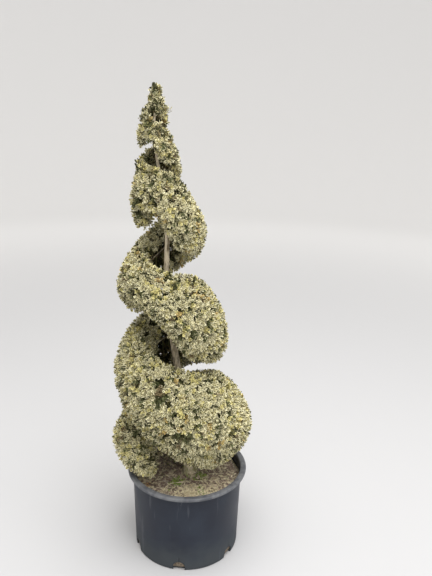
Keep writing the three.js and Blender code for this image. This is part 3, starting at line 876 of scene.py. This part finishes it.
# The deeper layer leans to the dark kinds: partly dark inner leaves, partly painted shade between sprays.
DEEP_ODDS = [0.1, 0.3, 0.1, 0.1, 1, 16, 0.1, 3]


def soft_groups(point, shift):
    """Noise from about -1 to 1 whose lumps are GROUP_SIZE across."""
    return np.array([noise.noise(Vector(p) / GROUP_SIZE + Vector((shift, 0, 0))) for p in point])


def spray_kinds(point, normal, deep, random):
    """A row of LEAF_KINDS for each spray."""
    facing_up = np.clip(normal[:, 2], 0, 1)
    yellow, green = (np.clip(0.5 + GROUP_CONTRAST * soft_groups(point, k), 0, 1) for k in (7, 31))
    amber = np.clip(AMBER_CONTRAST * soft_groups(point, 53) - AMBER_RARITY, 0, 1)
    groups = np.stack([np.ones(len(point)), green, yellow * (SHADY_YELLOW + facing_up), amber], -1)
    odds = groups @ KIND_ODDS.T
    if deep:
        odds = odds * DEEP_ODDS
    steps = np.cumsum(odds, -1) / odds.sum(-1, keepdims=True)
    return (random.random(len(point))[:, None] > steps).sum(-1)


print("odds of a plain spray:", KIND_ODDS[:, 0])

# %% [markdown]
# ## Masses of foliage
#
# Each mass is grown in three steps: sprays of leaves on the skin and in the deeper layer, limbs that reach
# half to three quarters of the way out, and a thin twig from each spray back to the nearest limb. Leaves and
# twigs are two pieces for each mass, each under 200,000 triangles.

# %% Grow one mass
SPRAY_SIZE = (1.0, 0.78)
SPRAY_TILT = 0.28
SPRAY_LIFT = 0.20
LIMB_AREA = 0.0030
LIMB_RADIUS = (0.0026, 0.0014)
LIMB_FEET_REACH = 0.86
LIMB_REACH = (0.5, 0.75)
SKIN_WAVE = 0.004
INSET_SHARE = (1, 0.35)
TWIG_THICKER = 1.6
TWIG_REACH = 0.9
FIRST_SEED = 100


def limbs_of(start, end, random):
    """Feet on the ramp's arms, and tips half to three quarters of the way out."""
    s, point, _ = deal_places(start, end, SKIN_AREA_PER_SPRAY[0] / LIMB_AREA, random)
    middle = (start + end) / 2
    along = middle + (s - middle) * ARM_REACH * LIMB_FEET_REACH
    feet = band_point(along, np.full(len(s), FORK_PLACE), 0 * s)
    return feet, feet + (point - feet) * random.uniform(*LIMB_REACH, len(s))[:, None]


def layer(start, end, depth, density, deep, random):
    """Foot, direction, size and kind of the sprays in one layer of a mass."""
    parts = [deal_places(start, end, density, random)[1:]]
    if start == BAND_START:
        parts.append(end_places(int(END_SPRAYS * density), random))
    if end == BAND_END:
        parts.append(tuft_places(int(TUFT_SPRAYS * density), random))
    point, normal = (np.concatenate(part) for part in zip(*parts))
    size = by_height(SPRAY_SIZE, point[:, 2]) * random.uniform(*SIZE_SPREAD, len(point))
    direction = unit(normal + SPRAY_TILT * random.normal(size=normal.shape) + [0, 0, SPRAY_LIFT])
    wave = SKIN_WAVE * (1 + soft_groups(point, 90))
    inset = SPRAY_LENGTH * size + by_height(INSET_SHARE, point[:, 2]) * (wave + depth)
    foot = point - normal * inset[:, None]
    return foot, direction, size, spray_kinds(point, normal, deep, random)


def grow_mass(mass, start, end, seed):
    """The leaves and the twigs of one mass, as two pieces."""
    random = np.random.default_rng(seed)
    skin = layer(start, end, depth=0, density=1, deep=False, random=random)
    # Painted shade: the deeper layer is mostly dark leaves that darken the gaps between sprays.
    inside = layer(start, end, depth=0.020, density=0.75, deep=True, random=random)
    foot, direction, size, kinds = (np.concatenate(both) for both in zip(skin, inside))
    turns = turns_to(direction, random.random(len(foot)) * 2 * math.pi) * size[:, None, None]
    which = random.integers(SPRAY_KINDS, size=len(foot))
    leaves = copies(SPRAYS, which, turns, foot, kinds, LEAF_KINDS)

    limb_feet, limb_tips = limbs_of(start, end, random)
    tree = kdtree.KDTree(len(limb_tips))
    for number, tip in enumerate(limb_tips):
        tree.insert(tip, number)
    tree.balance()
    nearest = np.array([tree.find(place)[0] for place in foot])
    ends = foot + direction * (SPRAY_LENGTH * TWIG_REACH * size)[:, None]
    feet = np.concatenate([limb_feet, nearest, foot])
    run = np.concatenate([limb_tips, foot, ends]) - feet
    length = np.linalg.norm(run, axis=-1)
    thin = np.full(len(foot), TWIG_RADIUS)
    radii = np.concatenate([by_height(LIMB_RADIUS, limb_feet[:, 2]), thin * TWIG_THICKER, thin])
    turns = turns_to(unit(run), 0 * length) * np.stack([radii, radii, length], -1)[:, None, :]
    twigs = copies([TWIG_SHAPE], np.zeros(len(feet), int), turns, feet)
    return piece_from("leaves_" + mass, leaves, LEAF_FINISHES), piece_from("twigs_" + mass, twigs, [TWIG])


# %% Grow them all
total = 0
for number, (mass, (start, end)) in enumerate(MASSES.items()):
    leaves, twigs = grow_mass(mass, start, end, FIRST_SEED + number)
    for piece in (leaves, twigs):
        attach(piece, "root")
    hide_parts("foliage_" + mass)
    total += len(leaves.data.polygons) + len(twigs.data.polygons)
    print(mass, "leaf faces", len(leaves.data.polygons), "twig faces", len(twigs.data.polygons))
print("faces in leaves and twigs:", total)

# %% [markdown]
# ## Pot
#
# A nursery pot has one thin wall all round, a hollow rolled lip, and drain holes where the wall meets the
# floor. Spinning one profile round the axis gives wall and lip at once. Its edges are rounded, so that the
# lip catches one soft line of light.

# %% Pot profile
LIP_HEIGHT = 0.011
SHOULDER_RADIUS = 0.178
BASE_RADIUS = 0.171
POT_WALL = 0.003
POT_FLOOR = 0.004
LIP_INSET = 0.0005

# How far the wall swells above the foot, and at which height
FOOT_SWELL = [(0.0004, 0.006), (0.0006, 0.012)]


def corner(x, z, radius, first, steps):
    """Points round a square corner at x, z, from a first angle in degrees from +X towards +Z."""
    x += radius if first in (90, 180) else -radius
    z += radius if first in (180, 270) else -radius
    angles = np.radians(np.linspace(first, first + 90, steps))
    return [(x + radius * math.cos(a), z + radius * math.sin(a)) for a in angles]


def pot_profile():
    """From the middle of the underside, out, up, over the lip and down inside to the floor."""
    lip_low = POT_HEIGHT - LIP_HEIGHT
    outer = RIM_RADIUS - LIP_INSET
    inner = BASE_RADIUS - POT_WALL
    spread = SHOULDER_RADIUS - BASE_RADIUS
    points = [(0, 0), (BASE_RADIUS - 0.006, 0)]
    points += corner(BASE_RADIUS, 0, radius=POT_FLOOR, first=270, steps=6)
    points += [(BASE_RADIUS + swell, z) for swell, z in FOOT_SWELL]
    points += [(BASE_RADIUS + spread * z / lip_low, z) for z in np.linspace(0.03, lip_low, 9)]
    points += corner(SHOULDER_RADIUS, lip_low, radius=0.002, first=180, steps=4)
    points += corner(outer, lip_low, radius=0.004, first=270, steps=6)
    points += corner(outer, POT_HEIGHT, radius=0.006, first=0, steps=8)
    points += corner(SHOULDER_RADIUS - POT_WALL, POT_HEIGHT, radius=0.005, first=90, steps=7)
    points += [(SHOULDER_RADIUS - POT_WALL, lip_low - 0.004), (inner, 0.010)]
    return points + [(inner - 0.004, POT_FLOOR), (0, POT_FLOOR)]


def spun(profile, sides):
    """A closed shape of revolution about +Z from its profile."""
    bm = bmesh.new()
    verts = [bm.verts.new((r, 0, z)) for r, z in profile]
    edges = [bm.edges.new(pair) for pair in zip(verts, verts[1:])]
    round_z = {"cent": (0, 0, 0), "axis": (0, 0, 1), "angle": 2 * math.pi}
    bmesh.ops.spin(bm, geom=verts + edges, steps=sides, use_merge=True, **round_z)
    bmesh.ops.remove_doubles(bm, verts=bm.verts[:], dist=1e-5)
    bmesh.ops.recalc_face_normals(bm, faces=bm.faces[:])
    return bm


# %% Pot finish and piece
def pot_finish():
    """Charcoal plastic with fine scuffs, soil splash near the foot and a lip painted pale: partly chalky
    wear, partly painted highlight.
    """
    finish = Finish("pot_plastic", Specular_IOR_Level=0.35)
    cloud = finish.mask(finish.grain(9, 4), 0.35, 0.7)
    plastic = finish.mix(cloud, (0.009, 0.013, 0.025), (0.020, 0.027, 0.042))
    splash_edge = finish.coordinate() + finish.grain(22, 5) * 0.09
    dusty = 1 - finish.mask(splash_edge, 0.06, 0.16)
    dusted = finish.mix(dusty * 0.55, plastic, (0.075, 0.085, 0.088))
    scratches = finish.grain(60, 4, finish.stretched((1, 1, 0.12), (0.3, 0.2, 0)))
    scuff = finish.mask(scratches, 0.62, 0.70)
    scuffed = finish.mix(scuff * 0.3, dusted, (0.10, 0.11, 0.13))
    # The top of the lip is painted pale: partly chalky wear, partly a painted highlight where it faces the
    # sky.
    lip = finish.mask(finish.coordinate(), POT_HEIGHT - 0.012, POT_HEIGHT - 0.007)
    chalk_and_highlight = lip * (0.45 + 0.5 * finish.mask(finish.grain(45, 5), 0.35, 0.65))
    finish.set("Base Color", finish.mix(chalk_and_highlight, scuffed, (0.165, 0.17, 0.18)))
    finish.set("Roughness", 0.42 + 0.25 * dusty + 0.15 * cloud)
    finish.relief(finish.grain(700, 2) + scratches, 0.0002, 0.4)
    return finish


POT_PLASTIC = pot_finish()
pot = piece_of("pot_shell", spun(pot_profile(), sides=144), [POT_PLASTIC])
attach(pot, "root")
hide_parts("pot")
print("pot faces:", len(pot.data.polygons))

# %% [markdown]
# ## Drain holes
#
# Six arched holes stand round the foot of the wall and reach a little way into the floor. A Boolean modifier
# cuts them with one cutter, which is then removed. Each of its arches is a disc whose lower half is pressed
# down to a straight edge, extruded through the wall.

# %% Cut the drain holes
DRAIN_WIDTH = 0.038
DRAIN_HEIGHT = 0.031
DRAIN_DEPTH = 0.011
DRAIN_COUNT = 6
DRAIN_TURN = 0.37


def drain_arches():
    """The six arches, each along the pot's radius."""
    side = DRAIN_WIDTH / 2
    bm = bmesh.new()
    for number in range(DRAIN_COUNT):
        disc = bmesh.ops.create_circle(bm, cap_ends=True, segments=32, radius=side)["verts"]
        for vert in disc:
            pressed = vert.co.y if vert.co.y > -1e-6 else side - DRAIN_HEIGHT - 0.002
            vert.co = Vector((BASE_RADIUS - DRAIN_DEPTH, vert.co.x, pressed + DRAIN_HEIGHT - side))
        faces = list({face for vert in disc for face in vert.link_faces})
        pulled = bmesh.ops.extrude_face_region(bm, geom=faces)["geom"]
        pulled = [item for item in pulled if isinstance(item, bmesh.types.BMVert)]
        bmesh.ops.translate(bm, verts=pulled, vec=(2 * DRAIN_DEPTH, 0, 0))
        turn = Matrix.Rotation((number + DRAIN_TURN) * 2 * math.pi / DRAIN_COUNT, 3, "Z")
        bmesh.ops.rotate(bm, verts=disc + pulled, cent=(0, 0, 0), matrix=turn)
    bmesh.ops.recalc_face_normals(bm, faces=bm.faces[:])
    return bm


cutter = piece_of("drain_cutter", drain_arches(), [POT_PLASTIC])
cut = pot.modifiers.new("holes", "BOOLEAN")
cut.object = cutter
cut.operation = "DIFFERENCE"
seen = pot.evaluated_get(bpy.context.evaluated_depsgraph_get())
finished = bpy.data.meshes.new_from_object(seen)
pot.modifiers.clear()
pot.data = finished
bpy.data.objects.remove(cutter)
print("pot faces with drain holes:", len(pot.data.polygons))

# %% [markdown]
# ## Soil
#
# The pot is filled almost to the lip with bark and peat. Its top is a low mound with lumps, covered by dry
# litter: straw-coloured bits near the front, amber leaves at the left, and cushions of moss near the stem.
# The bed is a spun shape whose top points are lifted by noise. The litter is joined copies again.

# %% Soil bed
SOIL_LIFT = 0.0015
SOIL_GAP = 0.001
SOIL_FOOT = [(0, 0.0045), (BASE_RADIUS - 0.01, 0.0045), (BASE_RADIUS - 0.004, 0.012)]

# The mound's height, where it falls off, and where the lumps begin round the stem
MOUND = 0.009
MOUND_SPAN = (0.035, 0.165)
STEM_SPAN = (0.028, 0.05)
SOIL_EDGE = SOIL_TOP - MOUND

# Height of lumps and crumbs, and how many lie in a metre
LUMP_HEIGHT = 0.0045
LUMP_SCALE = 28
CRUMB_HEIGHT = 0.0022
CRUMB_SCALE = 90


def soil_height(x, y):
    """The height of the soil's surface, with its mound and lumps."""
    radius = math.hypot(x, y)
    mound = SOIL_TOP - MOUND * smoothstep(radius, *MOUND_SPAN)
    near_stem = 1 - smoothstep(math.hypot(x - FOOT_OFFSET, y), *STEM_SPAN)
    lumps = LUMP_HEIGHT * noise.noise(Vector((x, y, 0)) * LUMP_SCALE)
    lumps += CRUMB_HEIGHT * noise.noise(Vector((x, y, 3)) * CRUMB_SCALE)
    return float(mound) + lumps * (1 - float(near_stem)) + SOIL_LIFT


def soil_finish():
    """Peat and bark crumbs, dry and pale in patches, with a green film in places."""
    finish = Finish("soil_mix", Roughness=0.95)
    crumbs = finish.grain(260, 6)
    crumb = finish.mask(crumbs, 0.35, 0.65)
    patches = finish.mask(finish.grain(24, 4), 0.4, 0.62)
    damp = finish.mix(crumb, (0.13, 0.10, 0.07), (0.30, 0.24, 0.175))
    dry = finish.mix(crumb, (0.54, 0.46, 0.34), (0.88, 0.78, 0.62))
    top = finish.mask(finish.coordinate(), 0.10, 0.22)
    both = finish.mix(patches * top, damp, dry)
    film = top * finish.mask(finish.grain(17, 3, finish.stretched((1, 1.3, 1))), 0.55, 0.68)
    finish.set("Base Color", finish.mix(film * 0.5, both, (0.22, 0.23, 0.08)))
    finish.relief(crumbs, 0.003, 0.8)
    return finish


def soil_bed():
    edge = SHOULDER_RADIUS - POT_WALL - SOIL_GAP
    bm = spun(SOIL_FOOT + [(r, SOIL_EDGE) for r in np.linspace(edge, 0, 60)], sides=160)
    for vert in bm.verts:
        if vert.co.z > SOIL_EDGE - 0.001:
            vert.co.z = soil_height(vert.co.x, vert.co.y)
    return piece_of("soil_bed", bm, [soil_finish()])


soil = soil_bed()
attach(soil, "root")
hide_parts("soil")
print("soil faces:", len(soil.data.polygons))

# %% Litter finishes
def litter_finish(name, light, dark):
    return two_tones(name, light, dark, (180, 3), (0.35, 0.65), Roughness=0.9)


LITTER = [
    litter_finish("straw", (0.86, 0.78, 0.56), (0.66, 0.57, 0.38)),
    litter_finish("bark_chip", (0.36, 0.28, 0.22), (0.18, 0.13, 0.10)),
    litter_finish("dead_leaf", (0.66, 0.55, 0.41), (0.46, 0.36, 0.26)),
    litter_finish("amber_leaf", (0.78, 0.50, 0.26), (0.60, 0.36, 0.15)),
    litter_finish("moss", (0.30, 0.38, 0.09), (0.17, 0.24, 0.05)),
]
STRAW, CHIP, DEAD, AMBER_LITTER, MOSS = range(5)
print("kinds of litter:", len(LITTER))

# %% Litter shapes
ROUGHENING = 0.12


def crumb_shape(sizes, seed):
    """A splinter or crumb: a cube that is scaled and roughened."""
    random = np.random.default_rng(seed)
    bm = bmesh.new()
    bmesh.ops.create_cube(bm, size=1)
    bmesh.ops.scale(bm, vec=sizes, verts=bm.verts[:])
    for vert in bm.verts:
        vert.co += Vector(random.normal(0, ROUGHENING, 3) * sizes)
    return shape_of(bm)


def moss_shape(seed):
    """A small cushion: a coarse ball with a rough top."""
    random = np.random.default_rng(seed)
    bm = bmesh.new()
    bmesh.ops.create_icosphere(bm, subdivisions=1, radius=1)
    for vert in bm.verts:
        vert.co *= random.uniform(0.7, 1.25)
        vert.co.z *= 0.75
    return shape_of(bm)


# Each shape, its finish and the size of a copy in metres; a fallen leaf is the leaf again, lying flat
FALLEN_LEAF = leaf_shape(1.4)
LITTER_SHAPES = [
    (crumb_shape((1, 0.09, 0.05), 1), STRAW, 0.030),
    (crumb_shape((1, 0.05, 0.05), 2), STRAW, 0.018),
    (crumb_shape((1, 0.55, 0.25), 3), CHIP, 0.012),
    (crumb_shape((1, 0.8, 0.4), 4), CHIP, 0.007),
    (FALLEN_LEAF, DEAD, 0.013),
    (FALLEN_LEAF, AMBER_LITTER, 0.013),
    (FALLEN_LEAF, STRAW, 0.012),
    (moss_shape(5), MOSS, 0.0032),
]
LONG_STRAW, SHORT_STRAW, BIG_CHIP, SMALL_CHIP, DEAD_LEAF, AMBER_LEAF, PALE_LEAF, MOSS_CUSHION = range(8)
print("litter shapes:", len(LITTER_SHAPES))

# %% [markdown]
# ## Where the litter lies
#
# Each heap is a place on the soil with a spread, a count and the shapes in it. Copies lie nearly flat on the
# soil, and none reaches through the wall.

# %% Spread the litter
LITTER_EDGE = SHOULDER_RADIUS - POT_WALL - 0.012
LITTER_STEM = 0.03
LITTER_TILT = 0.22
LITTER_SIZES = (0.6, 1.25)
LITTER_LIFT = (0.0005, 0.003)

# Middle, spread and count of each heap, and the shapes in it
LITTER_HEAPS = [
    ((0.0, 0.0), 0.13, 3800, [SHORT_STRAW, SHORT_STRAW, BIG_CHIP, SMALL_CHIP, DEAD_LEAF, PALE_LEAF]),
    ((0.02, -0.120), 0.038, 1100, [LONG_STRAW, PALE_LEAF, SHORT_STRAW]),
    ((0.095, -0.080), 0.040, 700, [SHORT_STRAW, PALE_LEAF, DEAD_LEAF]),
    ((-0.145, -0.060), 0.018, 220, [AMBER_LEAF, DEAD_LEAF, PALE_LEAF]),
    ((0.047, -0.103), 0.010, 90, [MOSS_CUSHION]),
    ((0.042, -0.030), 0.013, 130, [MOSS_CUSHION]),
    ((-0.036, -0.061), 0.012, 110, [MOSS_CUSHION]),
    ((0.0, 0.09), 0.05, 300, [MOSS_CUSHION, PALE_LEAF]),
]


def litter_piece(seed):
    random = np.random.default_rng(seed)
    which, turns, places = [], [], []
    for middle, spread, count, members in LITTER_HEAPS:
        for _ in range(count):
            x, y = random.normal(middle, spread)
            if math.hypot(x, y) > LITTER_EDGE or math.hypot(x - FOOT_OFFSET, y) < LITTER_STEM:
                continue
            shape = int(random.choice(members))
            size = LITTER_SHAPES[shape][2] * random.uniform(*LITTER_SIZES)
            tilt_x = Matrix.Rotation(random.normal(0, LITTER_TILT), 3, "X")
            tilt_y = Matrix.Rotation(random.normal(0, LITTER_TILT), 3, "Y")
            spin = Matrix.Rotation(random.uniform(0, 2 * math.pi), 3, "Z")
            which.append(shape)
            turns.append(size * np.array(spin @ (tilt_x @ tilt_y)))
            places.append((x, y, soil_height(x, y) + random.uniform(*LITTER_LIFT)))
    shapes = [(points, faces, 0 * slots + finish) for (points, faces, slots), finish, _ in LITTER_SHAPES]
    return piece_from("litter", copies(shapes, np.array(which), np.array(turns), np.array(places)), LITTER)


litter = litter_piece(7)
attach(litter, "root")
print("litter faces:", len(litter.data.polygons))

# %% [markdown]
# ## Floor
#
# A plain pale floor curves up far behind the plant, so that no horizon shows. Less light reaches its far
# parts, so they are painted paler, as painted light that makes up for it. As one spun profile it is the same
# from every side. It isn't part of the plant, so it isn't attached to the plant's body.

# %% Floor
SWEEP_RADIUS = 6
SWEEP_CURVE = 3.2
SWEEP_TOP = 3.8
PAINTED_LIGHT_SPAN = (1.5, 30)


def floor_sweep():
    finish = Finish("floor", Roughness=0.9)
    across, along = finish.coordinate("X"), finish.coordinate("Y")
    # Painted light: the floor is painted paler far out, where less light reaches it.
    far = finish.mask(across * across + along * along, *PAINTED_LIGHT_SPAN)
    finish.set("Base Color", finish.mix(far, (0.52, 0.52, 0.53), (0.86, 0.86, 0.87)))
    far_out = SWEEP_RADIUS + SWEEP_CURVE
    rise = corner(far_out, 0, radius=SWEEP_CURVE, first=270, steps=24)
    bm = spun([(0, 0)] + rise + [(far_out, SWEEP_TOP)], sides=96)
    bmesh.ops.reverse_faces(bm, faces=bm.faces[:])
    return piece_of("floor", bm, [finish])


floor = floor_sweep()
print("floor faces:", len(floor.data.polygons))
